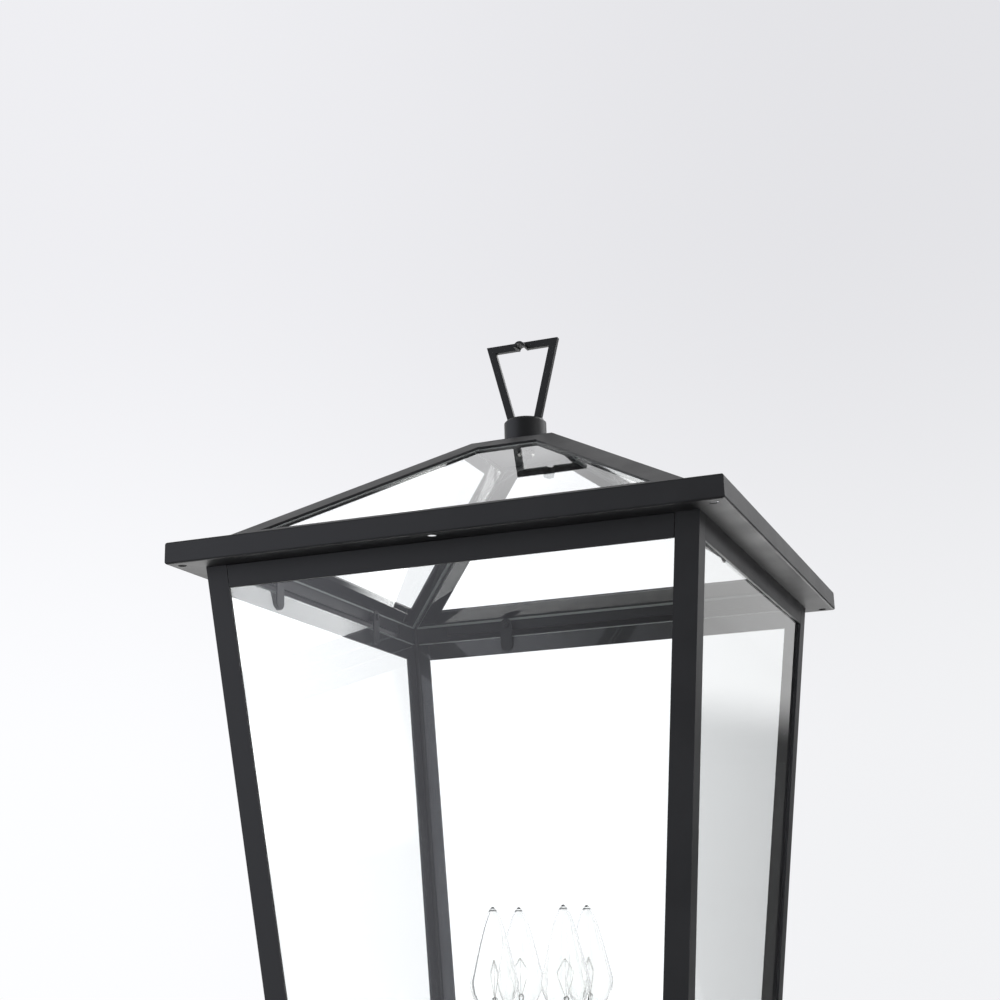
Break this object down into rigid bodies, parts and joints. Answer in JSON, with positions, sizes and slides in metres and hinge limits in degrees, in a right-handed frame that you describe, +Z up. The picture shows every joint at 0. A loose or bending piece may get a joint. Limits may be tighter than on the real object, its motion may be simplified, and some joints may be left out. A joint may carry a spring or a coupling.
{
  "type": "pendant lantern",
  "caption": "Square tapered hanging lantern with a hipped glass roof, projecting drip eave, clear side panes, turn clips and a trapezoid hanging loop",
  "frame": {"origin": "middle of the half-round chain seat under the loop's top bar, on the lantern's axis", "axes": "+Z is up along the lantern's axis, the front pane faces -Y and +X is to the right of the front"},
  "size_m": [0.4, 0.4, 0.6415],
  "materials": {
    "powder_coat": "black powder coat, satin, with a fine grain",
    "forged_black": "black powder coat over solid bar",
    "clip_black": "black powder coat, worn at the edges",
    "clear_glass": "clear float glass",
    "roof_pane_glass": "clear float glass",
    "clear_sealant": "clear silicone",
    "nickel_plate": "satin nickel plate",
    "zinc_screw": "zinc plated steel",
    "bush_rubber": "black nylon and rubber",
    "candle_black": "black enamel on thin tube",
    "socket_porcelain": "glazed, off white",
    "bulb_brass": "rolled brass",
    "bulb_clear": "clear blown glass",
    "wire_pvc": "black insulation"
  },
  "bodies": {
    "lantern": {"eave_front": "powder_coat", "eave_right": "powder_coat", "eave_back": "powder_coat", "eave_left": "powder_coat", "roof_rail_front": "powder_coat", "roof_rail_right": "powder_coat", "roof_rail_back": "powder_coat", "roof_rail_left": "powder_coat", "hip_front_right": "powder_coat", "hip_back_right": "powder_coat", "hip_back_left": "powder_coat", "hip_front_left": "powder_coat", "roof_cap": "powder_coat", "corner_brackets": "powder_coat", "header_front": "powder_coat", "header_right": "powder_coat", "header_back": "powder_coat", "header_left": "powder_coat", "post_front_right": "powder_coat", "post_back_right": "powder_coat", "post_back_left": "powder_coat", "post_front_left": "powder_coat", "bottom_rail_front": "powder_coat", "bottom_rail_right": "powder_coat", "bottom_rail_back": "powder_coat", "bottom_rail_left": "powder_coat", "glass_stops": "powder_coat", "cross_bar": "powder_coat", "wiring_pan": "powder_coat", "candle_cups": "powder_coat", "hub": "forged_black", "hanging_loop": "forged_black", "chain_seat": "forged_black", "clip_screws": "clip_black", "side_glass_front": "clear_glass", "side_glass_right": "clear_glass", "side_glass_back": "clear_glass", "side_glass_left": "clear_glass", "roof_glass_front": "roof_pane_glass", "roof_glass_right": "roof_pane_glass", "roof_glass_back": "roof_pane_glass", "roof_glass_left": "roof_pane_glass", "roof_seals": "clear_sealant", "wiring_tube": "nickel_plate", "lock_nut": "nickel_plate", "bar_fixings": "zinc_screw", "wire_bushings": "bush_rubber", "candle_sleeves": "candle_black", "lamp_sockets": "socket_porcelain", "bulb_caps": "bulb_brass", "bulb_glass": "bulb_clear", "lead_wire": "wire_pvc"},
    "turn_clip_front_1": {"clip_front_1": "clip_black"},
    "turn_clip_front_2": {"clip_front_2": "clip_black"},
    "turn_clip_right_1": {"clip_right_1": "clip_black"},
    "turn_clip_right_2": {"clip_right_2": "clip_black"},
    "turn_clip_back_1": {"clip_back_1": "clip_black"},
    "turn_clip_back_2": {"clip_back_2": "clip_black"},
    "turn_clip_left_1": {"clip_left_1": "clip_black"},
    "turn_clip_left_2": {"clip_left_2": "clip_black"}
  },
  "joints": [
    {"name": "clip_front_1_turn", "type": "hinge", "parent": "lantern", "child": "turn_clip_front_1", "pos_m": [-0.085, -0.17174, -0.187], "axis": [0, 1, 0], "range_deg": [-90, 90]},
    {"name": "clip_front_2_turn", "type": "hinge", "parent": "lantern", "child": "turn_clip_front_2", "pos_m": [0.085, -0.17174, -0.187], "axis": [0, 1, 0], "range_deg": [-90, 90]},
    {"name": "clip_right_1_turn", "type": "hinge", "parent": "lantern", "child": "turn_clip_right_1", "pos_m": [0.17174, -0.085, -0.187], "axis": [-1, 0, 0], "range_deg": [-90, 90]},
    {"name": "clip_right_2_turn", "type": "hinge", "parent": "lantern", "child": "turn_clip_right_2", "pos_m": [0.17174, 0.085, -0.187], "axis": [-1, 0, 0], "range_deg": [-90, 90]},
    {"name": "clip_back_1_turn", "type": "hinge", "parent": "lantern", "child": "turn_clip_back_1", "pos_m": [0.085, 0.17174, -0.187], "axis": [0, -1, 0], "range_deg": [-90, 90]},
    {"name": "clip_back_2_turn", "type": "hinge", "parent": "lantern", "child": "turn_clip_back_2", "pos_m": [-0.085, 0.17174, -0.187], "axis": [0, -1, 0], "range_deg": [-90, 90]},
    {"name": "clip_left_1_turn", "type": "hinge", "parent": "lantern", "child": "turn_clip_left_1", "pos_m": [-0.17174, 0.085, -0.187], "axis": [1, 0, 0], "range_deg": [-90, 90]},
    {"name": "clip_left_2_turn", "type": "hinge", "parent": "lantern", "child": "turn_clip_left_2", "pos_m": [-0.17174, -0.085, -0.187], "axis": [1, 0, 0], "range_deg": [-90, 90]}
  ]
}
